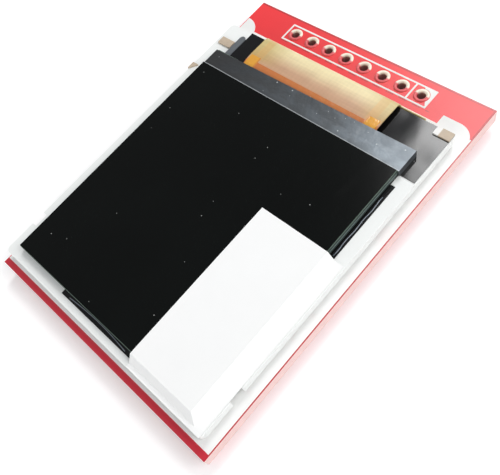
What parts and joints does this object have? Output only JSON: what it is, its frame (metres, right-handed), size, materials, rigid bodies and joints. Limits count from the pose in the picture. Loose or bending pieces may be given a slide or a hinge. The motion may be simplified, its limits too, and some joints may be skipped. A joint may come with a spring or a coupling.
{
  "type": "tft display module",
  "caption": "Small square colour screen on a red carrier board, with a folded flex tail and a row of plated header holes.",
  "frame": {"origin": "centre of the board's outline on its back face", "axes": "+X along the header row towards pin one, +Y to the header edge, +Z out of the screen"},
  "size_m": [0.0324, 0.0446, 0.0054],
  "materials": {
    "red_mask": "semi-gloss solder mask over glass-fibre board",
    "tinned_copper": "tinned copper, slightly uneven",
    "white_ink": "screen-printed white ink",
    "black_foam": "closed-cell foam tape",
    "white_moulding": "white moulded plastic, satin",
    "white_film": "white reflective film",
    "clear_acrylic": "clear moulded light guide",
    "optical_film": "clear film with a fine ribbed face",
    "lamp_resin": "white lamp body with yellow resin",
    "amber_film": "amber flexible circuit film",
    "black_tape": "glossy black adhesive tape",
    "polariser": "near-black polariser film with a hard coat",
    "panel_glass": "thin glass with a ground edge",
    "silicon": "polished back of a bare driver chip",
    "grey_tape": "satin grey-black cover tape",
    "amber_sealant": "cured amber sealant",
    "gold_pad": "gold-plated copper",
    "solder": "bright solder",
    "tan_film": "tan adhesive film",
    "label_paper": "coated white label stock, blank",
    "black_moulding": "black moulded package",
    "tinned_legs": "tinned legs and metal ends",
    "tan_ceramic": "fired tan ceramic",
    "black_ceramic": "black glazed resistor body"
  },
  "bodies": {
    "root": {"pcb": "red_mask", "header_pads": "tinned_copper", "print_field": "white_ink", "header_outline": "white_ink", "foam_tape": "black_foam", "flex_foam": "black_foam", "housing": "white_moulding", "reflector": "white_film", "light_guide": "clear_acrylic", "diffuser": "white_film", "prism_lower": "optical_film", "prism_upper": "optical_film", "backlight_leds": "lamp_resin", "led_strip": "amber_film", "rim_tape": "black_tape", "shield_tape": "black_tape", "rear_polariser": "polariser", "thin_film_glass": "panel_glass", "colour_filter_glass": "panel_glass", "front_polariser": "polariser", "driver_chip": "silicon", "ledge_tape": "grey_tape", "flex_tail": "amber_film", "flex_seal": "amber_sealant", "flex_pads": "gold_pad", "flex_solder": "solder", "corner_tabs": "tan_film", "blank_label": "label_paper", "rear_pads": "tinned_copper", "package_bodies": "black_moulding", "package_legs": "tinned_legs", "capacitor_bodies": "tan_ceramic", "resistor_bodies": "black_ceramic", "chip_ends": "tinned_legs"}
  },
  "joints": []
}
